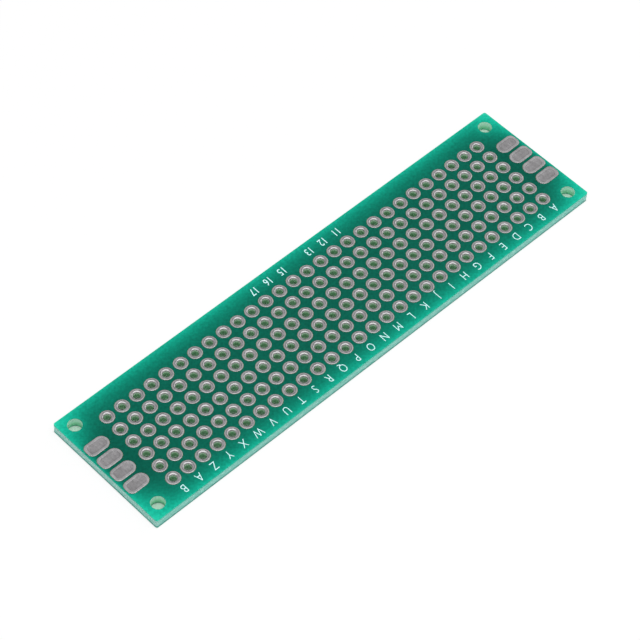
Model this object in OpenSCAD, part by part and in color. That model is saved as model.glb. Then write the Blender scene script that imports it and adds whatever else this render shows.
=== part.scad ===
// Double-sided prototype board: a rigid laminate core between two solder masks, a grid of plated
// holes with a tinned ring on both faces, a row of wide pads at each end, four mounting holes.
// Millimetres. Origin: middle of the board's outline, on the surface that it lies on.
// +X runs along the board towards column 1, -Y is the edge beside row 1, +Z is up.

/* [Board] */
// Length of the board
board_l = 80; // [60:1:90]
// Width of the board
board_w = 20; // [17:1:25]
// Thickness of the bare laminate
core_t = 1.5; // [0.8:0.1:2.4]
// Rounding of the board's four corners
corner_r = 0.3; // [0.1:0.05:1]
// Thickness of each solder mask
mask_t = 0.05; // [0.02:0.01:0.06]
// Gap between the solder mask and whatever stands in its openings
mask_gap = 0.03; // [0.02:0.01:0.08]

/* [Hole grid] */
// Distance from hole to hole, both ways
pitch = 2.54; // [2.4:0.01:3.2]
// Least distance from a long edge of the board to the outer row of holes
side_margin = 3.4; // [3:0.1:5]
// How far the drilled grid sits off the middle of the board, along its length
grid_shift_x = 0.185; // [-0.3:0.005:0.3]
// How far the drilled grid sits off the middle of the board, across its width
grid_shift_y = -0.17; // [-0.3:0.005:0.3]

/* [Plated holes] */
// Finished width of each hole
hole_d = 1; // [0.8:0.05:1.1]
// Width of the tinned ring round each hole
ring_d = 2.04; // [1.8:0.02:2.2]
// Thickness of the copper and tin on the wall of a hole
plating_t = 0.06; // [0.05:0.01:0.1]
// Radius of the rounded lip where a ring turns down into its hole
lip_r = 0.2; // [0.12:0.01:0.22]

/* [Pads] */
// How many end pads stand side by side at each end, at the pitch of the holes
end_pads = 4; // [1:1:4]
// Thickness of the copper and tin on both faces
pad_t = 0.09; // [0.07:0.01:0.14]
// Rounding of the upper edge of rings and end pads
pad_edge_r = 0.04; // [0.02:0.01:0.06]
// Length of an end pad
end_pad_l = 3.5; // [2.8:0.1:4]
// Width of an end pad
end_pad_w = 2.1; // [1.6:0.05:2.2]
// Corner radius of an end pad's outer end; its inner end is a half circle
end_corner_r = 0.75; // [0.3:0.05:0.79]
// Distance from the board's end to the end pads
end_gap = 0.25; // [0.2:0.05:0.6]
// Least gap between an end pad and the rings of the nearest column
end_clear = 0.6; // [0.4:0.05:1.2]

/* [Mounting holes] */
// Width of each mounting hole
mount_d = 2; // [1.5:0.1:2.4]
// Distance from both edges of the board to a mounting hole's centre
mount_inset = 2; // [1.6:0.1:2.4]

/* [Hidden] */
$fn = 48;
hole_r = hole_d / 2;
ring_r = ring_d / 2;
drill_r = hole_r + plating_t;
core_z = pad_t;
core_top = core_z + core_t;
total_t = core_top + pad_t;
bottom_mask_z = core_z - mask_t;

// The grid fills the room between the end pads and between the long edges
end_margin = end_gap + end_pad_l + end_clear + ring_r;
columns = floor((board_l - 2 * end_margin) / pitch) + 1;
rows = floor((board_w - 2 * side_margin) / pitch) + 1;

ENDS = ["right", "left"];
FACES = ["top", "bottom"];

function column_x(column) = grid_shift_x + ((columns + 1) / 2 - column) * pitch;
function row_y(row) = grid_shift_y + (row - (rows + 1) / 2) * pitch;
function end_pad_y(number) = grid_shift_y + (number - (end_pads + 1) / 2) * pitch;
function column_node(column) = str("plated_holes_column_", column);
function end_pad_node(end, face, number) = str(end, "_end_pad_", face, "_", number);

// Repeats its children at every hole of the grid
module at_grid_holes() {
    for (column = [1:columns], row = [1:rows])
        translate([column_x(column), row_y(row)])
            children();
}

// Repeats its children at the four mounting holes
module at_mounting_holes() {
    for (side_x = [-1, 1], side_y = [-1, 1])
        translate([side_x * (board_l / 2 - mount_inset), side_y * (board_w / 2 - mount_inset)])
            children();
}

// Puts an end pad in its place, its outer end towards the end of the board
module at_end_pad(end, number) {
    turn = end == "right" ? 0 : 180;
    side = end == "right" ? 1 : -1;
    translate([side * (board_l / 2 - end_gap), end_pad_y(number), 0])
        rotate([0, 0, turn])
            children();
}

// The rectangle with round corners that all three sheets of the board share
module board_outline() {
    square([board_l, board_w - 2 * corner_r], center = true);
    square([board_l - 2 * corner_r, board_w], center = true);
    for (side_x = [-1, 1], side_y = [-1, 1])
        translate([side_x * (board_l / 2 - corner_r), side_y * (board_w / 2 - corner_r)])
            circle(corner_r);
}

// Outline of an end pad, grown by a margin, with its outer end on the Y axis
module end_pad_outline(margin = 0) {
    wide = end_pad_w + 2 * margin;
    inner_r = wide / 2;
    outer_r = end_corner_r + margin;
    inner_x = -end_pad_l + end_pad_w / 2;
    body_l = -end_corner_r - inner_x;
    translate([inner_x, 0])
        circle(inner_r);
    translate([inner_x, -wide / 2])
        square([body_l, wide]);
    translate([-end_corner_r, -wide / 2 + outer_r])
        square([outer_r, wide - 2 * outer_r]);
    for (side = [-1, 1])
        translate([-end_corner_r, side * (wide / 2 - outer_r)])
            circle(outer_r);
}

// Section through the edge of a pad: flat below, rounded above, out to a given reach
module pad_edge_section(reach) {
    square([reach - pad_edge_r, pad_t]);
    square([reach, pad_t - pad_edge_r]);
    translate([reach - pad_edge_r, pad_t - pad_edge_r])
        circle(pad_edge_r);
}

// A straight stretch of pad along X with both long edges rounded
module pad_run(length, width) {
    rotate([90, 0, 90])
        linear_extrude(length) {
            pad_edge_section(width / 2);
            mirror([1, 0])
                pad_edge_section(width / 2);
        }
}

// One end pad, lying on the plane z = 0 with its outer end on the Y axis
module end_pad_body() {
    inner_r = end_pad_w / 2;
    inner_x = -end_pad_l + inner_r;
    tip_w = end_pad_w - 2 * end_corner_r;
    translate([inner_x, 0, 0])
        rotate([0, 0, 90])
            rotate_extrude(angle = 180)
                pad_edge_section(inner_r);
    translate([inner_x, 0, 0])
        pad_run(-end_corner_r - inner_x, end_pad_w);
    translate([-end_corner_r, -tip_w / 2, 0])
        rotate([90, 0, 0])
            mirror([0, 0, 1])
                linear_extrude(tip_w)
                    pad_edge_section(end_corner_r);
    for (side = [0, 1])
        mirror([0, side, 0])
            translate([-end_corner_r, tip_w / 2, 0])
                rotate_extrude(angle = 90)
                    pad_edge_section(end_corner_r);
}

// Section through one side of a plated hole above its middle: barrel, ring, lip and outer edge
module plated_hole_half_section() {
    half_t = total_t / 2;
    lip_x = hole_r + lip_r;
    lip_z = half_t - lip_r;
    edge_x = ring_r - pad_edge_r;
    edge_z = half_t - pad_edge_r;
    // the barrel's wall, as far as the foot of the lip
    translate([hole_r, 0])
        square([plating_t, lip_z]);
    // the lip: a quarter circle that meets the wall and the ring's face
    intersection() {
        translate([lip_x, lip_z])
            circle(lip_r);
        translate([hole_r, lip_z])
            square([lip_r, lip_r]);
        union() {
            translate([hole_r, lip_z])
                square([plating_t, lip_r]);
            translate([hole_r, half_t - pad_t])
                square([lip_r, pad_t]);
        }
    }
    // the flat ring and its rounded outer edge
    translate([lip_x, half_t - pad_t])
        square([edge_x - lip_x, pad_t]);
    translate([lip_x, half_t - pad_t])
        square([ring_r - lip_x, pad_t - pad_edge_r]);
    translate([edge_x, edge_z])
        circle(pad_edge_r);
}

// One plated hole: the barrel through the laminate with a tinned ring on both faces
module plated_hole() {
    translate([0, 0, total_t / 2])
        rotate_extrude() {
            plated_hole_half_section();
            mirror([0, 1])
                plated_hole_half_section();
        }
}

// The laminate, drilled for every plated hole and for the mounting holes
module rigid_core() {
    color([0.75, 0.82, 0.62])
        translate([0, 0, core_z])
            linear_extrude(core_t)
                difference() {
                    board_outline();
                    at_grid_holes()
                        circle(drill_r);
                    at_mounting_holes()
                        circle(mount_d / 2);
                }
}

// A solder mask: the board's outline, open round every ring and end pad, and drilled for mounting
module solder_mask() {
    color([0.02, 0.48, 0.38])
        linear_extrude(mask_t)
            difference() {
                board_outline();
                at_grid_holes()
                    circle(ring_r + mask_gap);
                at_mounting_holes()
                    circle(mount_d / 2);
                for (end = ENDS, number = [1:end_pads])
                    at_end_pad(end, number)
                        end_pad_outline(mask_gap);
            }
}

module solder_mask_top() {
    translate([0, 0, core_top])
        solder_mask();
}

module solder_mask_bottom() {
    translate([0, 0, bottom_mask_z])
        solder_mask();
}

// All the plated holes of one column, each a separate solid
module plated_holes_column(column) {
    color([0.68, 0.67, 0.67])
        for (row = [1:rows])
            translate([column_x(column), row_y(row), 0])
                plated_hole();
}

// One end pad on the top or the bottom face
module end_pad(end, face, number) {
    z = face == "top" ? core_top : core_z;
    flip = face == "top" ? 0 : 1;
    color([0.66, 0.66, 0.67])
        at_end_pad(end, number)
            translate([0, 0, z])
                mirror([0, 0, flip])
                    end_pad_body();
}

rigid_core();
solder_mask_top();
solder_mask_bottom();
for (column = [1:columns])
    plated_holes_column(column);
for (end = ENDS, face = FACES, number = [1:end_pads])
    end_pad(end, face, number);
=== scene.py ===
# %% [markdown]
# # Dressing a prototype board
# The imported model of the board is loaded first. It is exact, but bare: flat-shaded triangles
# with plain colours. This lesson keeps its sheets, rebuilds the small metal parts with smooth
# shapes, prints the marks and mixes a finish for each surface.

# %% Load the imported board
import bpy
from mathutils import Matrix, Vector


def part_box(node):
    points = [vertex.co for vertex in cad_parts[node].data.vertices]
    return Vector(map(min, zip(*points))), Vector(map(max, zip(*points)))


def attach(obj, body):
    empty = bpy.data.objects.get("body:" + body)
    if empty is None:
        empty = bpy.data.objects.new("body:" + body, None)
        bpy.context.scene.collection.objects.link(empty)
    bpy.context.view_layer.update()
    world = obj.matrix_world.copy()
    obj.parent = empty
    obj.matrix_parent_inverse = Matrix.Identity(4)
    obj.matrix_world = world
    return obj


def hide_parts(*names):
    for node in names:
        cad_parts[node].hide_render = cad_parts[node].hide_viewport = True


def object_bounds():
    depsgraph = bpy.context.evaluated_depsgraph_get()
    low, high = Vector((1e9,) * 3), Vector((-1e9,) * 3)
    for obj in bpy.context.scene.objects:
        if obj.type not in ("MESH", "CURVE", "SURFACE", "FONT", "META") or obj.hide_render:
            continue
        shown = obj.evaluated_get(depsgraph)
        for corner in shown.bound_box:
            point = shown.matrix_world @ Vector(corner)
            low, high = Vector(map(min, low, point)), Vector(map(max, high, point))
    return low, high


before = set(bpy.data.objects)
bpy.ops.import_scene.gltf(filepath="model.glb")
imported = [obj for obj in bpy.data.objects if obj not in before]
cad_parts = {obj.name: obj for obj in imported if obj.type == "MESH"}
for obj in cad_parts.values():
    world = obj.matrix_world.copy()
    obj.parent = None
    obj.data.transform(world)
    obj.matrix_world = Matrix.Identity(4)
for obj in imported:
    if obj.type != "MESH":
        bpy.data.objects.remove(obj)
packed_low, packed_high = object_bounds()
print("packed board:", packed_low, "to", packed_high)

# %% [markdown]
# Blender counts in metres, but a board is drawn in millimetres, so one value converts them. The
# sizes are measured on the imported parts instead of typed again. A name that ends in mm holds
# millimetres, which is what the finishes work in.

# %% Measure the board
import math

import bpy
from mathutils import Matrix, Vector

MM = 0.001
columns = 28
rows = 6
pads_in_row = 4
sheet_low, sheet_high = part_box("rigid_core")
mask_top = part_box("solder_mask_top")[1].z
face_top = packed_high.z
half_length_mm = sheet_high.x / MM
half_width_mm = sheet_high.y / MM
print("half length", half_length_mm, "mm, half width", half_width_mm, "mm, mask surface at", mask_top)

# %% [markdown]
# The photograph was taken from above one corner, with a long lens and the camera turned a
# little. A camera looks along its own -Z axis with +Y up, so its three axes are written as the
# columns of a matrix.

# %% Camera at the photograph's view
look_from = Vector((-152.098, -140.586, 272.112)) * MM
look_along = Vector((0.43996, 0.41193, -0.79796)).normalized()
picture_up = Vector((0.53592, 0.59256, 0.60138))
lens_mm = 143.52
sensor_mm = 36.0

bpy.ops.object.camera_add(location=look_from)
camera = bpy.context.object
camera.name = "portrait_camera"
camera.data.lens = lens_mm
camera.data.sensor_width = sensor_mm
sideways = look_along.cross(picture_up).normalized()
upright = sideways.cross(look_along)
turn = Matrix((sideways, upright, -look_along)).transposed()
camera.matrix_world = Matrix.Translation(look_from) @ turn.to_4x4()
bpy.context.scene.camera = camera
bpy.context.scene.view_settings.view_transform = "Standard"
print("camera at", tuple(round(v, 4) for v in camera.location), "lens", lens_mm)

# %% [markdown]
# ## Small helpers for node trees
# A material is a tree of nodes joined by links. Three short helpers keep the finishes readable:
# one fills a socket with either a link or a plain value, one does a sum, one mixes two colours.

# %% Helpers: fill a socket, calculate, mix
def fill(tree, socket, value):
    """Joins an output to a socket, or writes a plain value in it."""
    if isinstance(value, bpy.types.NodeSocket):
        tree.links.new(value, socket)
    else:
        socket.default_value = value


def calc(tree, operation, *values, clamp=False):
    """One Math node; returns its result."""
    made = tree.nodes.new("ShaderNodeMath")
    made.operation = operation
    made.use_clamp = clamp
    for socket, value in zip(made.inputs, values):
        fill(tree, socket, value)
    return made.outputs[0]


def mix(tree, share, first, second, way="MIX", limit=True):
    """Mixes two colours; the share stops at 1 unless the limit is off. Returns the colour."""
    made = tree.nodes.new("ShaderNodeMix")
    made.data_type = "RGBA"
    made.blend_type = way
    made.clamp_factor = limit
    # the node has sockets for several kinds of value; 6, 7 and 2 are those for colours
    fill(tree, made.inputs[0], share)
    fill(tree, made.inputs[6], first)
    fill(tree, made.inputs[7], second)
    return made.outputs[2]


# %% [markdown]
# Patterns need a place to read. Object coordinates are metres from the object's origin, and
# every finished piece has its origin at the board's, so all patterns run across the board as
# one. Noise is stretched by scaling the place before it is read, and a range is softened with
# a smooth step.

# %% Helpers: place, noise, smooth step
def place_in_mm(tree):
    """The place on the object, in millimetres."""
    where = tree.nodes.new("ShaderNodeTexCoord")
    scaled = tree.nodes.new("ShaderNodeVectorMath")
    scaled.operation = "SCALE"
    scaled.inputs["Scale"].default_value = 1.0 / MM
    tree.links.new(where.outputs["Object"], scaled.inputs[0])
    return scaled.outputs[0]


def split(tree, vector):
    """The x, y and z of a vector."""
    made = tree.nodes.new("ShaderNodeSeparateXYZ")
    fill(tree, made.inputs[0], vector)
    return made.outputs[0], made.outputs[1], made.outputs[2]


def join(tree, x, y, z):
    """A vector from its x, y and z."""
    made = tree.nodes.new("ShaderNodeCombineXYZ")
    for socket, value in zip(made.inputs, (x, y, z)):
        fill(tree, socket, value)
    return made.outputs[0]


def noise(tree, where, scale, detail=2.0, rough=0.5):
    """A soft random pattern between 0 and 1, read at a place."""
    made = tree.nodes.new("ShaderNodeTexNoise")
    fill(tree, made.inputs["Vector"], where)
    fill(tree, made.inputs["Scale"], scale)
    fill(tree, made.inputs["Detail"], detail)
    fill(tree, made.inputs["Roughness"], rough)
    return made.outputs[0]


def smooth_step(tree, value, low, high, out_low=0.0, out_high=1.0):
    """Turns a value between low and high into a soft change from out_low to out_high."""
    made = tree.nodes.new("ShaderNodeMapRange")
    made.interpolation_type = "SMOOTHSTEP"
    for socket, number in zip(made.inputs, (value, low, high, out_low, out_high)):
        fill(tree, socket, number)
    return made.outputs[0]


def fade_out(tree, value, low, high):
    """A smooth step downwards: 1 below low and 0 above high."""
    return smooth_step(tree, value, low, high, 1.0, 0.0)


# %% [markdown]
# The same few sums come back in every finish: a part of one value is added to another, a noise
# is made to swing round zero, a distance is worked out from x and y. Written once with a plain
# name, they leave the finishes to say what they mean.

# %% Helpers: sums that the finishes share
def product(tree, *values):
    """Several values multiplied, one after another."""
    result = values[0]
    for value in values[1:]:
        result = calc(tree, "MULTIPLY", result, value)
    return result


def add_part(tree, base, value, part):
    """The base plus a part of a value; a negative part takes it away."""
    return calc(tree, "ADD", base, calc(tree, "MULTIPLY", value, part))


def sway(tree, pattern, amount):
    """A pattern between 0 and 1 as a swing either side of 0, this much from end to end."""
    return calc(tree, "MULTIPLY", calc(tree, "SUBTRACT", pattern, 0.5), amount)


def wave(tree, value, length, shift=0.0):
    """A sine wave along a value, this long from crest to crest."""
    turned = calc(tree, "MULTIPLY", value, 2 * math.pi / length)
    return calc(tree, "SINE", calc(tree, "ADD", turned, shift))


def distance(tree, x, y):
    """How far a place is from zero, from its distances in two directions."""
    square = calc(tree, "ADD", calc(tree, "POWER", x, 2.0), calc(tree, "POWER", y, 2.0))
    return calc(tree, "SQRT", square)


def shade_by(tree, colour, factor):
    """A colour made darker or lighter by a plain factor."""
    grey = join(tree, factor, factor, factor)
    return mix(tree, 1.0, colour, grey, "MULTIPLY")


# %% [markdown]
# ## Groups that several finishes share
# A node group is built once and placed in each material with its own values. Its sockets are
# made on its interface, and the Group Input and Group Output nodes stand for them inside. The
# shader itself stays in the material, and so does the bump that tilts its surface.

# %% Helpers: start a group, place a group, start a material, add a bump
def start_group(name, inputs, outputs):
    """An empty node group with named sockets; returns the tree, its inputs and its outputs."""
    tree = bpy.data.node_groups.new(name, "ShaderNodeTree")
    for title, kind in inputs:
        tree.interface.new_socket(name=title, in_out="INPUT", socket_type=kind)
    for title, kind in outputs:
        tree.interface.new_socket(name=title, in_out="OUTPUT", socket_type=kind)
    group_in = tree.nodes.new("NodeGroupInput")
    group_out = tree.nodes.new("NodeGroupOutput")
    return tree, group_in.outputs, group_out.inputs


def place_group(tree, group, **values):
    """Places a group in a material; words in a socket's name are joined by an underscore."""
    made = tree.nodes.new("ShaderNodeGroup")
    made.node_tree = group
    for title, value in values.items():
        fill(tree, made.inputs[title.replace("_", " ")], value)
    return made.outputs


def start_material(name):
    """A new material with its Principled BSDF; returns the material, its tree and the shader."""
    material = bpy.data.materials.new(name)
    material.use_nodes = True
    return material, material.node_tree, material.node_tree.nodes["Principled BSDF"]


def add_bump(tree, shader, height, strength, depth_mm):
    """Lets a height between 0 and 1 tilt the surface, as relief of this depth would."""
    made = tree.nodes.new("ShaderNodeBump")
    made.inputs["Strength"].default_value = strength
    made.inputs["Distance"].default_value = depth_mm * MM
    tree.links.new(height, made.inputs["Height"])
    tree.links.new(made.outputs["Normal"], shader.inputs["Normal"])


NUMBER = "NodeSocketFloat"
PLACE = "NodeSocketVector"

# %% [markdown]
# **Board light.** The laminate under the green lacquer is translucent. Light enters it at the
# cut edges and makes the lacquer glow near them. The group measures how far a place is from the
# nearest cut and lets the glow fall off with that distance. At a corner the glows of end and
# side are added, but not quite in full. Copper blocks the light, so the lacquer between the end
# pads stays dark, at the left end more than at the right, and a little shadow reaches past the
# pads' inner ends.

# %% Group: light from the cut edges
def fall_off(tree, how_far, reach):
    """Light that dies away: 1 at the start, and about a third after each reach."""
    return calc(tree, "EXPONENT", calc(tree, "MULTIPLY", calc(tree, "DIVIDE", how_far, reach), -1.0))


pads_side_mm = 5.0
left_shade_from = -0.9
right_shade_from = -0.3
full_shade_from = 1.3
shade_side = (pads_side_mm - 1.6, pads_side_mm + 1.0)
shadow_past_pads = (3.6, 6.0)
corner_loss = 0.5

board_light, given, gives = start_group(
    "board light",
    [("Place", PLACE), ("Reach", NUMBER), ("Hole Reach", NUMBER), ("Copper Shade", NUMBER)],
    [("Edge Glow", NUMBER), ("Hole Glow", NUMBER), ("Hole Distance", NUMBER), ("Copper Shadow", NUMBER)])
tree = board_light
x, y, _ = split(tree, given["Place"])
along = calc(tree, "ABSOLUTE", x)
across = calc(tree, "ABSOLUTE", y)
from_end = calc(tree, "SUBTRACT", half_length_mm, along)
from_side = calc(tree, "SUBTRACT", half_width_mm, across)

# the change from the left end's value to the right end's falls in the middle of the board
shade_from = smooth_step(tree, x, -1.0, 1.0, left_shade_from, right_shade_from)
behind_pads = smooth_step(tree, from_end, shade_from, full_shade_from)
shaded = product(tree, behind_pads, fade_out(tree, across, *shade_side), given["Copper Shade"])
past_pads = fade_out(tree, from_end, *shadow_past_pads)
tree.links.new(product(tree, shaded, past_pads), gives["Copper Shadow"])

lit = calc(tree, "SUBTRACT", 1.0, shaded)
end_glow = product(tree, fall_off(tree, from_end, given["Reach"]), lit)
side_glow = fall_off(tree, from_side, given["Reach"])
overlap = calc(tree, "POWER", product(tree, end_glow, side_glow), 2.0)
edge_glow = add_part(tree, calc(tree, "ADD", end_glow, side_glow), overlap, -corner_loss)
tree.links.new(edge_glow, gives["Edge Glow"])
print("the pads shade the lacquer up to", pads_side_mm, "mm from the board's middle line")

# %% [markdown]
# Light also enters at the four drilled mounting holes. They lie as far in from the end as from
# the side, so one hole stands for all four once x and y have lost their signs. The distance to
# its wall gives a second glow, and is handed out too, because the laminate's finish needs it.

# %% Group: light from the mounting holes
mount_in_mm = 2.0
mount_radius_mm = 1.0

hole_x = calc(tree, "SUBTRACT", along, half_length_mm - mount_in_mm)
hole_y = calc(tree, "SUBTRACT", across, half_width_mm - mount_in_mm)
hole_distance = calc(tree, "SUBTRACT", distance(tree, hole_x, hole_y), mount_radius_mm)
tree.links.new(fall_off(tree, hole_distance, given["Hole Reach"]), gives["Hole Glow"])
tree.links.new(hole_distance, gives["Hole Distance"])
print("group", board_light.name, "has", len(board_light.nodes), "nodes")

# %% [markdown]
# **Mottle.** Nothing that is coated, dipped or sawn has one even colour. This group adds two
# noises of different grain to give a factor round 1, which multiplies a colour, and the same
# pattern as a height for bump and roughness.

# %% Group: mottle
coarse_part = 0.6
coarse_detail = 3.0

mottle, given, gives = start_group(
    "mottle",
    [("Place", PLACE), ("Coarse Scale", NUMBER), ("Fine Scale", NUMBER), ("Amount", NUMBER)],
    [("Factor", NUMBER), ("Pattern", NUMBER)])
tree = mottle
coarse = noise(tree, given["Place"], given["Coarse Scale"], coarse_detail)
fine = noise(tree, given["Place"], given["Fine Scale"])
pattern = add_part(tree, product(tree, coarse, coarse_part), fine, 1.0 - coarse_part)
tree.links.new(calc(tree, "ADD", sway(tree, pattern, given["Amount"]), 1.0), gives["Factor"])
tree.links.new(pattern, gives["Pattern"])
print("group", mottle.name, "has", len(mottle.nodes), "nodes")

# %% [markdown]
# ## Finishes
# **Green lacquer.** It is a thin satin coat over the laminate. The glow of the cuts is added to
# a deep green, and where two glows meet at a corner a trace of red makes it paler. A faint
# square weave shows the glass cloth below, a fine grain and larger patches break up the green,
# and a very low bump keeps the reflection from being a mirror. The coat reflects little, so its
# specular level is low.

# %% Finish: green lacquer
lacquer_green = (0.0030, 0.108, 0.071, 1.0)
glow_green = (0.003, 0.322, 0.218, 1.0)
corner_pale = (0.022, 0.0, 0.0, 1.0)
hole_glow_part = 0.25
corner_from_glow = 0.6
corner_sharpness = 4.0
weave_mm = 0.55
weave_contrast = 0.03
weave_height = 0.08
grain_scale = 2.4
grain_contrast = 0.65
shadow_below_copper = 0.16
least_rough = 0.30
rough_spread = 0.12

lacquer, tree, shader = start_material("green_lacquer")
where = place_in_mm(tree)
light = place_group(tree, board_light, Place=where, Reach=1.35, Hole_Reach=0.7, Copper_Shade=0.8)
patches = place_group(tree, mottle, Place=where, Coarse_Scale=0.22, Fine_Scale=3.6, Amount=0.34)
x, y, _ = split(tree, where)
weave = product(tree, wave(tree, x, weave_mm), wave(tree, y, weave_mm))
glow = add_part(tree, light["Edge Glow"], light["Hole Glow"], hole_glow_part)
corner = calc(tree, "MULTIPLY", glow, corner_from_glow, clamp=True)
corner = calc(tree, "POWER", corner, corner_sharpness)
colour = mix(tree, glow, lacquer_green, glow_green, "ADD", limit=False)
colour = mix(tree, corner, colour, corner_pale, "ADD")
woven = add_part(tree, 1.0, weave, weave_contrast)
below_copper = add_part(tree, 1.0, light["Copper Shadow"], -shadow_below_copper)
grain = sway(tree, noise(tree, where, grain_scale, detail=1.0), grain_contrast)
grained = calc(tree, "ADD", grain, 1.0)
shade = product(tree, patches["Factor"], woven, below_copper, grained)
tree.links.new(shade_by(tree, colour, shade), shader.inputs["Base Color"])
rough = add_part(tree, least_rough, patches["Pattern"], rough_spread)
tree.links.new(rough, shader.inputs["Roughness"])
relief = add_part(tree, patches["Pattern"], weave, weave_height)
add_bump(tree, shader, relief, strength=0.15, depth_mm=0.02)
shader.inputs["Specular IOR Level"].default_value = 0.03
print("finish", lacquer.name, "has", len(tree.nodes), "nodes")

# %% [markdown]
# **Cut laminate.** The sides of the board are sawn glass cloth and resin. The green is deeper
# below, and the two ends are greyer than the long sides. The cloth lies in layers, so the sides
# show pale threads that run along the edge, broken into short dashes: a noise that changes much
# faster upwards than along the edge. One coordinate along the edge serves both pairs of sides,
# because on each of them only x or only y changes.

# %% Finish: cut laminate, its threads
side_green = (0.205, 0.58, 0.485, 1.0)
side_deep = (0.155, 0.50, 0.42, 1.0)
end_grey = (0.285, 0.56, 0.49, 1.0)
thread_white = (0.52, 0.78, 0.72, 1.0)
end_from_mm = (half_length_mm - 0.4, half_length_mm - 0.1)
deep_until_mm = (0.1, 1.1)
thread_along = 1.1
thread_upward = 9.0
thread_range = (0.50, 0.66)
thread_part = 0.6
resin_rough = 0.75
thread_rough = 0.5

laminate, tree, shader = start_material("cut_laminate")
where = place_in_mm(tree)
x, y, z = split(tree, where)
run = calc(tree, "ADD", x, y)
at_end = smooth_step(tree, calc(tree, "ABSOLUTE", x), *end_from_mm)
colour = mix(tree, at_end, side_green, end_grey)
colour = mix(tree, smooth_step(tree, z, *deep_until_mm), side_deep, colour)
stretched = join(tree, product(tree, run, thread_along), 0.0, product(tree, z, thread_upward))
threads = noise(tree, stretched, 1.0, detail=3.0)
thread_mask = smooth_step(tree, threads, *thread_range)
colour = mix(tree, product(tree, thread_mask, thread_part), colour, thread_white)
rough = smooth_step(tree, threads, 0.3, 0.7, resin_rough, thread_rough)
tree.links.new(rough, shader.inputs["Roughness"])
add_bump(tree, shader, threads, strength=0.5, depth_mm=0.03)
shader.inputs["Specular IOR Level"].default_value = 0.3
print("threads are", round(thread_upward / thread_along, 1), "times longer than they are thick")

# %% [markdown]
# At the board's ends the bundles of thread are cut across, and stand out as pale dots in rows.
# One wave along the edge gives the bundles and one upwards the layers, and their product is
# high only where both are high or both low, so the dots of one layer stand between those of the
# next. A noise shifts the first wave, so that the dots don't stand in step. The long sides show
# a faint trace of them.

# %% Finish: cut laminate, its bundles
bundle_mm = 0.95
layer_mm = 0.42
wander_scale = 0.7
wander_amount = 9.0
dot_range = (0.25, 0.7)
dots_from_mm = (0.45, 0.75)
dots_on_sides = 0.15
dots_at_ends = 0.6

wander = product(tree, noise(tree, where, wander_scale), wander_amount)
bundles = wave(tree, run, bundle_mm, wander)
dots = smooth_step(tree, product(tree, bundles, wave(tree, z, layer_mm)), *dot_range)
upper_part = smooth_step(tree, z, *dots_from_mm)
dot_strength = smooth_step(tree, at_end, 0.0, 1.0, dots_on_sides, dots_at_ends)
colour = mix(tree, product(tree, dots, upper_part, dot_strength), colour, thread_white)
print("bundles every", bundle_mm, "mm along the edge, layers every", layer_mm, "mm upwards")

# %% [markdown]
# The sides are tinted by the lacquer at the top, and at the ends that band is a little paler: a
# painted highlight on the top edge. At the foot the sides are dark, partly the tint of the lower
# lacquer and partly painted shade where the board meets the floor. In the mounting holes the
# same laminate is drilled and looks yellower; deeper down it turns a darker green, painted shade
# in the hole, and darker still at its foot. Its flat face only shows in the narrow gap round each
# ring and pad, where it looks a warm brown.

# %% Finish: cut laminate, its top, foot, holes and face
side_top = (0.05, 0.50, 0.38, 1.0)
end_top_tint_and_highlight = (0.10, 0.50, 0.40, 1.0)
foot_tint_and_shade = (0.015, 0.21, 0.185, 1.0)
drilled_green = (0.64, 0.95, 0.80, 1.0)
drilled_shade = (0.22, 0.62, 0.36, 1.0)
gap_brown = (0.34, 0.30, 0.13, 1.0)
top_from_mm = (1.2, 1.6)
foot_until_mm = (0.14, 0.42)
hole_wall_mm = (0.05, 0.2)
drilled_shade_until_mm = (0.2, 1.3)
drilled_foot_shade_part = 0.35
face_slack_mm = 0.002
sheet_middle_mm = (sheet_low.z + sheet_high.z) / 2 / MM
sheet_half_mm = (sheet_high.z - sheet_low.z) / 2 / MM

# painted highlight: at the ends the top band is a little paler
top_tint = mix(tree, at_end, side_top, end_top_tint_and_highlight)
colour = mix(tree, smooth_step(tree, z, *top_from_mm), colour, top_tint)
# the dark foot: partly the lower lacquer's tint, partly painted shade where the board meets the floor
foot = fade_out(tree, z, *foot_until_mm)
colour = mix(tree, foot, colour, foot_tint_and_shade)

light = place_group(tree, board_light, Place=where, Reach=1.0, Hole_Reach=1.0, Copper_Shade=0.0)
# painted shade: the drilled wall is darker deeper in the hole, and darker still at the foot
drilled = mix(tree, smooth_step(tree, z, *drilled_shade_until_mm), drilled_shade, drilled_green)
drilled = mix(tree, product(tree, foot, drilled_foot_shade_part), drilled, foot_tint_and_shade)
in_hole = fade_out(tree, light["Hole Distance"], *hole_wall_mm)
colour = mix(tree, in_hole, colour, drilled)

from_sheet_middle = calc(tree, "ABSOLUTE", calc(tree, "SUBTRACT", z, sheet_middle_mm))
on_face = calc(tree, "GREATER_THAN", from_sheet_middle, sheet_half_mm - face_slack_mm)
colour = mix(tree, on_face, colour, gap_brown)
speckle = place_group(tree, mottle, Place=where, Coarse_Scale=0.8, Fine_Scale=6.0, Amount=0.25)
tree.links.new(shade_by(tree, colour, speckle["Factor"]), shader.inputs["Base Color"])
print("finish", laminate.name, "has", len(tree.nodes), "nodes")

# %% [markdown]
# **Tinned copper.** The rings, barrels and end pads are copper that was dipped in tin and blown
# flat with hot air. Tin is a plain grey metal that sets unevenly, so one group gives its
# mottled colour, roughness and height, and both metal finishes below use it.

# %% Group: blown tin
tin_grey = (0.300, 0.292, 0.300, 1.0)
least_rough = 0.15
rough_spread = 0.2

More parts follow.
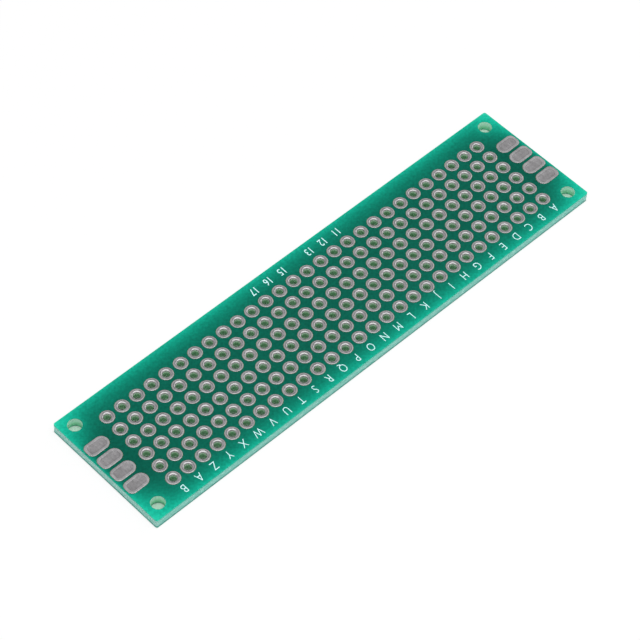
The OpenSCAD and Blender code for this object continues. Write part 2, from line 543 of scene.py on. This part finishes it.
blown_tin, given, gives = start_group(
    "blown tin",
    [("Place", PLACE), ("Contrast", NUMBER)],
    [("Color", "NodeSocketColor"), ("Roughness", NUMBER), ("Height", NUMBER)])
tree = blown_tin
blotches = place_group(
    tree, mottle, Place=given["Place"], Coarse_Scale=1.4, Fine_Scale=4.5, Amount=given["Contrast"])
tree.links.new(shade_by(tree, tin_grey, blotches["Factor"]), gives["Color"])
tree.links.new(add_part(tree, least_rough, blotches["Pattern"], rough_spread), gives["Roughness"])
tree.links.new(blotches["Pattern"], gives["Height"])
print("group", blown_tin.name, "has", len(blown_tin.nodes), "nodes")

# %% [markdown]
# The finishes of rings and pads follow the grid of holes, so the grid is measured on the first
# packed column: where its first ring stands, and how far it is from ring to ring.

# %% Measure the grid of holes
board_middle_mm = (packed_low.z + packed_high.z) / 2 / MM
face_from_middle_mm = (packed_high.z - packed_low.z) / 2 / MM
column_low, column_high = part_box("plated_holes_column_1")
ring_width_mm = (column_high.x - column_low.x) / MM
grid_x_mm = (column_low.x + column_high.x) / 2 / MM
grid_y_mm = column_low.y / MM + ring_width_mm / 2
pitch_mm = ((column_high.y - column_low.y) / MM - ring_width_mm) / (rows - 1)
print("rings", round(ring_width_mm, 3), "mm wide, pitch", round(pitch_mm, 3), "mm")

# %% [markdown]
# The ring of a plated hole has a thin darker line where the flat copper meets the swell of tin
# round the hole: a painted dark reflection, not a colour of the tin. The holes stand on a square
# grid, so a ping-pong of x and y gives the distance to the nearest hole everywhere, and the line
# is drawn at one such distance, wavering and broken by noise. The flat outside the line is a
# little lighter than the lip inside it: painted shade on the lip.

# %% Finish: tinned rings, their flats and lips
flat_gain = 1.09
lip_shade_gain = 0.95
lip_to_flat_mm = (0.66, 0.84)
line_radius_mm = 0.78
line_width_mm = 0.10
line_waver_mm = 0.3
line_waver_scale = 1.7
line_break_scale = 2.3
line_breaks = (0.32, 0.52)
line_darkness = 0.55
line_depth = 0.4

ring_tin, tree, shader = start_material("tinned_rings")
where = place_in_mm(tree)
tin = place_group(tree, blown_tin, Place=where, Contrast=0.35)
x, y, z = split(tree, where)
off_x = calc(tree, "PINGPONG", calc(tree, "SUBTRACT", x, grid_x_mm), pitch_mm / 2)
off_y = calc(tree, "PINGPONG", calc(tree, "SUBTRACT", y, grid_y_mm), pitch_mm / 2)
from_axis = distance(tree, off_x, off_y)

# painted dark reflection: a thin dark line on the tin round each hole
waver = sway(tree, noise(tree, where, line_waver_scale), line_waver_mm)
wavering = calc(tree, "ADD", from_axis, waver)
from_line = calc(tree, "ABSOLUTE", calc(tree, "SUBTRACT", wavering, line_radius_mm))
line = fade_out(tree, from_line, 0.0, line_width_mm)
unbroken = smooth_step(tree, noise(tree, where, line_break_scale), *line_breaks)
line = product(tree, line, unbroken)
# painted shade: the lip is made darker than the flat
gain = smooth_step(tree, from_axis, *lip_to_flat_mm, lip_shade_gain, flat_gain)
shade = product(tree, add_part(tree, 1.0, line, -line_darkness), gain)
colour = shade_by(tree, tin["Color"], shade)
tree.links.new(tin["Roughness"], shader.inputs["Roughness"])
relief = add_part(tree, tin["Height"], line, -line_depth)
add_bump(tree, shader, relief, strength=0.5, depth_mm=0.05)
print("dark line", line_radius_mm, "mm from each hole's axis")

# %% [markdown]
# Down in the barrel the light has passed the laminate, so the wall turns to a soft green, paler
# near the face, and stops looking like metal. How deep a place lies is measured from the nearer
# face, so the finish is the same from both sides of the board.

# %% Finish: tinned rings, down in their barrels
barrel_pale = (0.60, 0.78, 0.63, 1.0)
barrel_green = (0.165, 0.39, 0.195, 1.0)
ring_metal = 0.8
barrel_metal = 0.05
metal_until_mm = (0.12, 0.26)
pale_until_mm = (0.12, 0.72)

from_middle = calc(tree, "ABSOLUTE", calc(tree, "SUBTRACT", z, board_middle_mm))
depth = calc(tree, "SUBTRACT", face_from_middle_mm, from_middle)
down = smooth_step(tree, depth, *metal_until_mm)
wall = mix(tree, smooth_step(tree, depth, *pale_until_mm), barrel_pale, barrel_green)
tree.links.new(mix(tree, down, colour, wall), shader.inputs["Base Color"])
metal = smooth_step(tree, down, 0.0, 1.0, ring_metal, barrel_metal)
tree.links.new(metal, shader.inputs["Metallic"])
print("finish", ring_tin.name, "has", len(tree.nodes), "nodes")

# %% [markdown]
# The wide pads are flatter. First the finish has to know how deep a place lies inside a pad's
# outline. That is found as for any rectangle with round corners: measured from a smaller
# rectangle, and taken from the corner radius. The pads stand at the pitch of the holes, so y is
# folded as it was for the rings.

# %% Finish: tinned pads, how far inside the outline
pad_low, pad_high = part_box("right_end_pad_top_1")
pad_middle_mm = (pad_low.x + pad_high.x) / 2 / MM
pad_half_length_mm = (pad_high.x - pad_low.x) / 2 / MM
pad_half_width_mm = (pad_high.y - pad_low.y) / 2 / MM
pad_round_mm = 0.9

pad_tin, tree, shader = start_material("tinned_pads")
where = place_in_mm(tree)
x, y, z = split(tree, where)
pad_x = calc(tree, "ABSOLUTE", calc(tree, "SUBTRACT", calc(tree, "ABSOLUTE", x), pad_middle_mm))
pad_y = calc(tree, "PINGPONG", calc(tree, "SUBTRACT", y, grid_y_mm), pitch_mm / 2)
over_x = calc(tree, "SUBTRACT", pad_x, pad_half_length_mm - pad_round_mm)
over_y = calc(tree, "SUBTRACT", pad_y, pad_half_width_mm - pad_round_mm)
outward = distance(tree, calc(tree, "MAXIMUM", over_x, 0.0), calc(tree, "MAXIMUM", over_y, 0.0))
inward = calc(tree, "MINIMUM", calc(tree, "MAXIMUM", over_x, over_y), 0.0)
inside = calc(tree, "SUBTRACT", pad_round_mm, calc(tree, "ADD", outward, inward))
print("pads", round(2 * pad_half_length_mm, 3), "by", round(2 * pad_half_width_mm, 3), "mm")

# %% [markdown]
# With that distance the pad gets a lighter border, a painted highlight on its rim, and a thin
# dark line just inside it, where the dish begins, which is painted shade. Streaks run across,
# where the air knife blew the tin: a noise that changes faster along the pad than across it.
# They tint the tin and lift it a little.

# %% Finish: tinned pads, border and streaks
border_mm = 0.36
border_blur_mm = 0.07
border_waver_mm = 0.12
border_waver_scale = 2.0
rim_highlight_gain = 1.04
dish_gain = 0.83
dish_line_shade = 0.2
streak_along = 5.0
streak_across = 1.2
streak_contrast = 0.55
streak_height = 0.5
pad_metal = 0.7

tin = place_group(tree, blown_tin, Place=where, Contrast=1.0)
waver = sway(tree, noise(tree, where, border_waver_scale), border_waver_mm)
inside = calc(tree, "ADD", inside, waver)
# painted highlight: the border is made lighter than the dish
gain = smooth_step(
    tree, inside, border_mm - border_blur_mm, border_mm + border_blur_mm, rim_highlight_gain, dish_gain)
# painted shade: a thin dark line just inside the border
from_line = calc(tree, "ABSOLUTE", calc(tree, "SUBTRACT", inside, border_mm + border_blur_mm))
line = fade_out(tree, from_line, 0.0, border_blur_mm)
gain = add_part(tree, gain, line, -dish_line_shade)
blown = join(tree, product(tree, x, streak_along), product(tree, y, streak_across), z)
streaks = noise(tree, blown, 1.0, detail=3.0)
gain = calc(tree, "ADD", gain, sway(tree, streaks, streak_contrast))
tree.links.new(shade_by(tree, tin["Color"], gain), shader.inputs["Base Color"])
tree.links.new(tin["Roughness"], shader.inputs["Roughness"])
shader.inputs["Metallic"].default_value = pad_metal
relief = add_part(tree, tin["Height"], streaks, streak_height)
add_bump(tree, shader, relief, strength=0.35, depth_mm=0.05)
print("finish", pad_tin.name, "has", len(tree.nodes), "nodes")

# %% [markdown]
# **White marking ink.** The marks are printed with a white ink that lets a little of the green
# through where it is thin.

# %% Finish: white ink
ink_white = (0.64, 0.96, 0.98, 1.0)
ink_thin = (0.42, 0.80, 0.80, 1.0)
thin_range = (0.52, 0.68)
thin_part = 0.5
least_rough = 0.45
rough_spread = 0.2

ink, tree, shader = start_material("white_ink")
where = place_in_mm(tree)
patches = place_group(tree, mottle, Place=where, Coarse_Scale=2.0, Fine_Scale=9.0, Amount=0.2)
thin = product(tree, smooth_step(tree, patches["Pattern"], *thin_range), thin_part)
tree.links.new(mix(tree, thin, ink_white, ink_thin), shader.inputs["Base Color"])
rough = add_part(tree, least_rough, patches["Pattern"], rough_spread)
tree.links.new(rough, shader.inputs["Roughness"])
print("finish", ink.name, "has", len(tree.nodes), "nodes")

# %% [markdown]
# ## The sheets
# The laminate and both lacquer sheets are already right in shape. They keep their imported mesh
# and get their finish in the first material slot.

# %% Dress the sheets
sheet_finish = {"rigid_core": laminate, "solder_mask_top": lacquer, "solder_mask_bottom": lacquer}
for name, finish in sheet_finish.items():
    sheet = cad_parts[name]
    sheet.data.materials.clear()
    sheet.data.materials.append(finish)
    print("dressed", name, "with", finish.name)

# %% [markdown]
# ## Plated holes
# Each hole is a tube of metal with a flat ring on both faces. A modelling operator in edit mode
# acts on what is selected, so the helpers here select faces or edges by where their corners lie.
# The slack of each test is smaller than any size of the hole.

# %% Helpers: select faces and edges by place
def deselect():
    """Leaves nothing selected, because an operator acts on all that is."""
    bpy.ops.object.select_all(action="DESELECT")


def choose(piece, kind, test):
    """Selects the faces or edges whose corners pass a test, in edit mode; returns how many."""
    bpy.ops.mesh.select_all(action="DESELECT")
    bpy.ops.mesh.select_mode(type=kind)
    bpy.ops.object.mode_set(mode="OBJECT")
    mesh = piece.data
    chosen = 0
    for part in (mesh.polygons if kind == "FACE" else mesh.edges):
        corners = [mesh.vertices[i].co for i in part.vertices]
        part.select = test(corners)
        chosen += part.select
    bpy.ops.object.mode_set(mode="EDIT")
    return chosen


slack = 0.01 * MM


def all_at_radius(corners, radius):
    """True where every corner is this far from the Z axis."""
    return all(abs(c.xy.length - radius) < slack for c in corners)


def all_at_height(corners, height):
    """True where all corners are this far above the middle, or all this far below it."""
    above = all(abs(c.z - height) < slack / 2 for c in corners)
    below = all(abs(c.z + height) < slack / 2 for c in corners)
    return above or below


# %% [markdown]
# The model starts as a plain cylinder with closed ends. Each end is inset to the width of the
# hole, and the two small discs are bridged, which opens the hole. With 168 of them on the
# board, each has few faces.

# %% Model one plated hole: the tube
ring_radius = 1.02 * MM
hole_radius = 0.5 * MM
around = 24
half_thick = (packed_high.z - packed_low.z) / 2

deselect()
bpy.ops.mesh.primitive_cylinder_add(vertices=around, radius=ring_radius, depth=2 * half_thick)
hole = bpy.context.object
hole.name = "plated_hole"
bpy.ops.object.mode_set(mode="EDIT")
ends = choose(hole, "FACE", lambda c: all_at_height(c, half_thick))
flat_of_ring = (ring_radius - hole_radius) * math.cos(math.pi / around)
bpy.ops.mesh.inset(thickness=flat_of_ring, use_individual=True)
choose(hole, "FACE", lambda c: all_at_radius(c, hole_radius) and all_at_height(c, half_thick))
bpy.ops.mesh.bridge_edge_loops()
print("tube with", ends, "ends")

# %% [markdown]
# The outer wall is cut level with the underside of each ring. What lies between the two cuts is
# drawn in to the drilled width: extruded in place, then scaled towards the axis. A cut merges
# points that are nearer than its threshold, so that is set far below the thickness of a ring.

# %% Model one plated hole: the waist between the rings
drill_radius = 0.56 * MM
pad_thick = 0.09 * MM
merge_within = 0.001 * MM


def round_the_middle(corners):
    """True where the corners lie evenly above and below the board's middle."""
    return abs(sum(c.z for c in corners)) < slack


for side in (1, -1):
    choose(hole, "FACE", lambda c: all_at_radius(c, ring_radius))
    level = side * (half_thick - pad_thick)
    bpy.ops.mesh.bisect(plane_co=(0, 0, level), plane_no=(0, 0, 1), threshold=merge_within)
waist = choose(hole, "FACE", lambda c: all_at_radius(c, ring_radius) and round_the_middle(c))
bpy.ops.mesh.extrude_region_move()
waist_share = drill_radius / ring_radius
bpy.ops.transform.resize(value=(waist_share, waist_share, 1), center_override=(0, 0, 0))
print("waist of", waist, "faces")

# %% [markdown]
# The tin flows down into the hole over a wide round lip, so the inner edges get a deep bevel.
# It is then pressed flatter towards the ring's face, because tin spreads wider than it runs
# deep. The ring's outer edge gets a small bevel. Last, all faces are turned outwards.

# %% Model one plated hole: lip and rim
lip_reach = 0.29 * MM
lip_flatten = 0.7
lip_steps = 4
rim_radius = 0.035 * MM
rim_steps = 2


def in_lip(corners, side):
    """True where all corners lie in the bevelled lip of the upper (1) or lower (-1) face."""
    reach = lip_reach + slack
    return all(c.xy.length < hole_radius + reach and side * c.z > half_thick - reach for c in corners)


lips = choose(hole, "EDGE", lambda c: all_at_radius(c, hole_radius) and all_at_height(c, half_thick))
bpy.ops.mesh.bevel(offset=lip_reach, segments=lip_steps, affect="EDGES")
for side in (1, -1):
    choose(hole, "FACE", lambda c: in_lip(c, side))
    bpy.ops.transform.resize(value=(1, 1, lip_flatten), center_override=(0, 0, side * half_thick))
rims = choose(hole, "EDGE", lambda c: all_at_radius(c, ring_radius) and all_at_height(c, half_thick))
bpy.ops.mesh.bevel(offset=rim_radius, segments=rim_steps, affect="EDGES")
bpy.ops.mesh.select_all(action="SELECT")
bpy.ops.mesh.normals_make_consistent(inside=False)
bpy.ops.object.mode_set(mode="OBJECT")
hole.data.materials.append(ring_tin)
print("plated hole:", len(hole.data.polygons), "faces; bevelled", lips, "lip and", rims, "rim edges")

# %% [markdown]
# Bevelled edges look round when the light is blended across them. Shading smooth by angle does
# that and keeps real corners sharp. A copy is moved inside its own mesh, so that its origin
# stays at the board's, and the copies of a column are joined into one piece.

# %% Helpers: smooth by angle, copy, join
def smooth(piece, degrees):
    """Shades a piece smooth wherever its faces meet at less than an angle."""
    deselect()
    piece.select_set(True)
    bpy.context.view_layer.objects.active = piece
    bpy.ops.object.shade_smooth_by_angle(angle=math.radians(degrees))


def copy_to(piece, name, offset, turn=None):
    """A copy with its own mesh, moved and turned inside that mesh."""
    made = piece.copy()
    made.data = piece.data.copy()
    made.name = name
    bpy.context.scene.collection.objects.link(made)
    move = Matrix.Translation(offset)
    made.data.transform(move @ turn if turn else move)
    return made


def join_pieces(parts, name):
    """Joins several pieces into the first, and names the result."""
    deselect()
    for part in parts:
        part.select_set(True)
    bpy.context.view_layer.objects.active = parts[0]
    bpy.ops.object.join()
    parts[0].name = name
    return parts[0]


# %% [markdown]
# Each packed column is measured, filled with six copies of the hole and then replaced by them.
# The copies ride on the board's only body.

# %% Copy the hole along each column
smooth(hole, degrees=50)
for column in range(1, columns + 1):
    node_name = f"plated_holes_column_{column}"
    low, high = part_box(node_name)
    column_x = (low.x + high.x) / 2
    first_row_y = low.y + ring_radius
    row_step = (high.y - low.y - 2 * ring_radius) / (rows - 1)
    offsets = [Vector((column_x, first_row_y + row * row_step, face_top / 2)) for row in range(rows)]
    parts = [copy_to(hole, f"hole_{column}_{row}", offset) for row, offset in enumerate(offsets)]
    tubes = join_pieces(parts, f"tinned_holes_{column}")
    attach(tubes, "root")
    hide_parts(node_name)
bpy.data.objects.remove(hole)
print("columns of plated holes:", columns, "with", rows, "holes each")
print("holes in a column are", round(row_step / MM, 3), "mm apart")

# %% [markdown]
# ## End pads
# A pad is a flat plate with a half-round inner end and wide round corners at its outer end. It
# starts as a plane, and bevelling the plane's corner points rounds them. Two helpers do what
# comes back: rounding one end, and insetting the upper face with a small rise or drop.

# %% Helpers: round an end of the pad, inset and lift its face
pad_length = pad_high.x - pad_low.x
pad_width = pad_high.y - pad_low.y


def round_corners(plate, end, radius, steps):
    """Rounds the two corner points at a plate's inner end (-1) or outer end (1)."""
    bpy.ops.mesh.select_all(action="DESELECT")
    bpy.ops.mesh.select_mode(type="VERT")
    bpy.ops.object.mode_set(mode="OBJECT")
    for vertex in plate.data.vertices:
        at_this_end = abs(vertex.co.x - end * pad_length / 2) < slack
        at_a_corner = abs(abs(vertex.co.y) - pad_width / 2) < slack
        vertex.select = at_this_end and at_a_corner
    bpy.ops.object.mode_set(mode="EDIT")
    bpy.ops.mesh.bevel(offset=radius, segments=steps, affect="VERTICES")


def inset_and_lift(inward, upward):
    """Insets the upper face and moves what is left of it up or down."""
    bpy.ops.mesh.inset(thickness=inward)
    bpy.ops.transform.translate(value=(0, 0, upward))


# %% [markdown]
# Extruding gives the thickness. Two insets with a small rise give the rounded rim, and two
# more, the last with a drop, the shallow dish that the tin leaves when it is blown flat. The
# inner end is a shade less than a half circle, so that its two bevels don't meet in one point.

# %% Model one end pad
inner_round = pad_width / 2 * 0.999
inner_steps = 10
outer_round = 0.75 * MM
outer_steps = 7
pad_rim = 0.04 * MM
rim_share = 0.3
border = 0.24 * MM
dish_slope = 0.1 * MM
dish_depth = 0.03 * MM

deselect()
bpy.ops.mesh.primitive_plane_add(size=1.0)
pad = bpy.context.object
pad.name = "end_pad"
bpy.ops.object.mode_set(mode="EDIT")
bpy.ops.transform.resize(value=(pad_length, pad_width, 1.0))
round_corners(pad, -1, inner_round, inner_steps)
round_corners(pad, 1, outer_round, outer_steps)
bpy.ops.mesh.select_all(action="SELECT")
bpy.ops.mesh.remove_doubles(threshold=slack / 2)
bpy.ops.mesh.select_mode(type="FACE")
bpy.ops.mesh.select_all(action="SELECT")
bpy.ops.mesh.extrude_region_move(TRANSFORM_OT_translate={"value": (0, 0, pad_thick - pad_rim)})
inset_and_lift(pad_rim * rim_share, pad_rim * (1 - rim_share))
inset_and_lift(pad_rim * (1 - rim_share), pad_rim * rim_share)
inset_and_lift(border, 0.0)
inset_and_lift(dish_slope, -dish_depth)
bpy.ops.object.mode_set(mode="OBJECT")
pad.data.materials.append(pad_tin)
smooth(pad, degrees=60)
print("end pad:", len(pad.data.polygons), "faces,", round(pad_length / MM, 3), "mm long")

# %% [markdown]
# The sixteen pads are the same plate: turned end for end at the other end of the board, and
# rolled over for the underside.

# %% Place the end pads
half_turn_z = Matrix.Rotation(math.pi, 4, "Z")
half_turn_x = Matrix.Rotation(math.pi, 4, "X")
plates = []
for end in ("right", "left"):
    for face in ("top", "bottom"):
        for number in range(1, pads_in_row + 1):
            node_name = f"{end}_end_pad_{face}_{number}"
            low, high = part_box(node_name)
            seat = low.z if face == "top" else high.z
            turn = half_turn_z if end == "left" else Matrix.Identity(4)
            turn = turn if face == "top" else half_turn_x @ turn
            offset = Vector(((low.x + high.x) / 2, (low.y + high.y) / 2, seat))
            plate = copy_to(pad, f"tinned_pad_{end}_{face}_{number}", offset, turn)
            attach(plate, "root")
            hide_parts(node_name)
            plates.append(plate)
bpy.data.objects.remove(pad)
print("end pads placed:", len(plates))

# %% [markdown]
# ## Printed marks
# A text object is given a hair of thickness, narrowed to the width of the board's lettering,
# and turned to a mesh before it is moved, so that its place is in its mesh. Its capitals stand
# about 0.7 of its size, so the size is worked out from the wanted height. A small negative
# offset pulls its outline inwards, which makes the strokes of the letters thinner. The marks
# stand on the lacquer and stay below the rings.

# %% Helper: print one mark
ink_thick = 0.012 * MM
ink_lift = 0.002 * MM
mark_width = 0.76
capital_part = 0.7
curve_steps = 3


def print_mark(word, centre_x, foot_y, height, thinner):
    """One printed word as a mesh, its foot towards +Y, so it reads from the far side."""
    deselect()
    bpy.ops.object.text_add()
    text = bpy.context.object
    text.data.body = word
    text.data.align_x = "CENTER"
    text.data.size = height / capital_part
    text.scale.x = mark_width
    text.data.extrude = ink_thick / 2
    text.data.offset = -thinner
    text.data.resolution_u = curve_steps
    bpy.ops.object.convert(target="MESH")
    bpy.ops.object.transform_apply(location=False, rotation=False, scale=True)
    text = bpy.context.object
    turn = Matrix.Rotation(math.pi, 4, "Z")
    place = Matrix.Translation(Vector((centre_x, foot_y, mask_top + ink_thick / 2 + ink_lift)))
    text.data.transform(place @ turn)
    text.data.materials.clear()
    text.data.materials.append(ink)
    return text


# %% [markdown]
# A converted text is loose where its flat faces meet its sides, and a thinned outline can leave
# slivers. So each row of marks is joined, its doubles are merged, its slivers dissolved, and
# its faces turned outwards.

# %% Helper: print a row of marks
def print_row(name, words, foot_y, height, thinner=0.0):
    """Prints each column's word over that column, as one piece that rides on the board."""
    marks = []
    for column, word in words.items():
        low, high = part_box(f"plated_holes_column_{column}")
        marks.append(print_mark(word, (low.x + high.x) / 2, foot_y, height, thinner))
    row = join_pieces(marks, name)
    bpy.ops.object.mode_set(mode="EDIT")
    bpy.ops.mesh.select_all(action="SELECT")
    bpy.ops.mesh.remove_doubles(threshold=merge_within)
    bpy.ops.mesh.dissolve_degenerate(threshold=merge_within)
    bpy.ops.mesh.normals_make_consistent(inside=False)
    bpy.ops.object.mode_set(mode="OBJECT")
    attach(row, "root")
    low = Vector(row.bound_box[0]) / MM
    high = Vector(row.bound_box[6]) / MM
    print(name, "from", tuple(round(v, 2) for v in low), "to", tuple(round(v, 2) for v in high))


# %% [markdown]
# The columns are marked along one edge with the letters of the alphabet, which starts again
# after Z, and near the other edge six columns are marked with their numbers.

# %% Print the letters and numbers
letters = "ABCDEFGHIJKLMNOPQRSTUVWXYZAB"
letter_height = 1.3 * MM
letter_foot = -8.05 * MM
letter_thinner = 0.02 * MM
numbered = (11, 12, 13, 15, 16, 17)
number_height = 1.2 * MM
number_foot = 9.0 * MM

lettered = dict(enumerate(letters, start=1))
print_row("column_letters", lettered, letter_foot, letter_height, letter_thinner)
print_row("column_numbers", {column: str(column) for column in numbered}, number_foot, number_height)

# %% [markdown]
# ## Floor, world and lamps
# A studio can look white and still shed a soft light. A Light Path node tells what kind of ray
# meets a surface: rays from the camera, through glass and off shiny things get a plain white,
# and the rays that only carry light get the real floor and a dimmer world.

# %% Helper: tell what is seen from what only sheds light
def seen_directly(tree):
    """1 for a ray from the camera, through glass or off something shiny, and 0 for others."""
    seen_by = tree.nodes.new("ShaderNodeLightPath")
    rays = seen_by.outputs
    direct = calc(tree, "MAXIMUM", rays["Is Camera Ray"], rays["Is Transmission Ray"])
    return calc(tree, "MAXIMUM", direct, rays["Is Glossy Ray"])


# %% [markdown]
# The floor is a pale sheet under the board. A real white sheet is never quite as white as the
# page, so a ray from the camera sees mostly a plain white of strength 1, with a part of the lit
# floor mixed in, which keeps the soft shadow at the board's foot. Below the board the floor is
# painted darker and green: painted shade, tinted by the light that comes through the board, for
# what shows of it through the holes. It reaches a little past the board's outline, as a painted
# contact shadow at its foot.

# %% Pale floor
floor_size = 3.0
floor_drop = 0.01 * MM
floor_white = (0.98, 0.98, 0.98, 1.0)
floor_shade_below = (0.56, 0.70, 0.62, 1.0)
foot_edge_mm = (-0.25, 0.2)
shadow_share = 0.12

deselect()
bpy.ops.mesh.primitive_plane_add(size=floor_size, location=(0, 0, -floor_drop))
floor = bpy.context.object
floor.name = "studio_floor"
paper, tree, shader = start_material("studio_paper")
shader.inputs["Roughness"].default_value = 0.9
shader.inputs["Specular IOR Level"].default_value = 0.0
page = tree.nodes.new("ShaderNodeEmission")
page.inputs["Strength"].default_value = 1.0
x, y, _ = split(tree, place_in_mm(tree))
past_end = calc(tree, "SUBTRACT", calc(tree, "ABSOLUTE", x), half_length_mm)
past_side = calc(tree, "SUBTRACT", calc(tree, "ABSOLUTE", y), half_width_mm)
outside = smooth_step(tree, calc(tree, "MAXIMUM", past_end, past_side), *foot_edge_mm)
# painted shade: the floor below the board and just past its outline is darker and green
tree.links.new(mix(tree, outside, floor_shade_below, floor_white), shader.inputs["Base Color"])
page_part = product(tree, outside, 1.0 - shadow_share)
blend = tree.nodes.new("ShaderNodeMixShader")
tree.links.new(product(tree, seen_directly(tree), page_part), blend.inputs[0])
tree.links.new(shader.outputs[0], blend.inputs[1])
tree.links.new(page.outputs[0], blend.inputs[2])
tree.links.new(blend.outputs[0], tree.nodes["Material Output"].inputs["Surface"])
floor.data.materials.append(paper)
print("floor", floor_size, "m wide")

# %% [markdown]
# The world is the studio round the board. Seen by the camera and by shiny surfaces it is plain
# white. For the light that it sheds it is much dimmer, and the lamps give the rest.

# %% World
world_light = 0.29
plain_white = (1.0, 1.0, 1.0, 1.0)

world = bpy.data.worlds.new("studio")
bpy.context.scene.world = world
world.use_nodes = True
tree = world.node_tree
soft = tree.nodes["Background"]
soft.inputs["Strength"].default_value = world_light
plain = tree.nodes.new("ShaderNodeBackground")
plain.inputs["Strength"].default_value = 1.0
for background in (soft, plain):
    background.inputs["Color"].default_value = plain_white
blend = tree.nodes.new("ShaderNodeMixShader")
tree.links.new(seen_directly(tree), blend.inputs[0])
tree.links.new(soft.outputs[0], blend.inputs[1])
tree.links.new(plain.outputs[0], blend.inputs[2])
tree.links.new(blend.outputs[0], tree.nodes["World Output"].inputs["Surface"])
print("world sheds", world_light, "of plain white")

# %% [markdown]
# Two wide softboxes light the board: one above the camera's side, and one further off to the
# right. Together with the world they make a colour render about as it is written, and the lips
# of the holes catch their highlights. An area lamp's power is spread over its face, so the
# power is worked out from a brightness and the lamp's two sides.

# %% Two softboxes
def add_softbox(name, place, long, short, brightness):
    """A rectangular lamp that faces the middle of the board."""
    bpy.ops.object.light_add(type="AREA", location=place)
    lamp = bpy.context.object
    lamp.name = name
    lamp.rotation_mode = "QUATERNION"
    lamp.rotation_quaternion = (-place).to_track_quat("-Z", "Y")
    lamp.data.shape = "RECTANGLE"
    lamp.data.size = long
    lamp.data.size_y = short
    lamp.data.energy = brightness * math.pi * long * short
    print(name, round(lamp.data.energy, 2), "W over", long, "by", short, "m")


overhead_place = Vector((-0.074, -0.158, 0.702))
right_place = Vector((1.287, -0.048, 0.768))
add_softbox("overhead_softbox", overhead_place, long=1.20, short=0.62, brightness=2.5)
add_softbox("right_softbox", right_place, long=0.80, short=0.70, brightness=2.0)
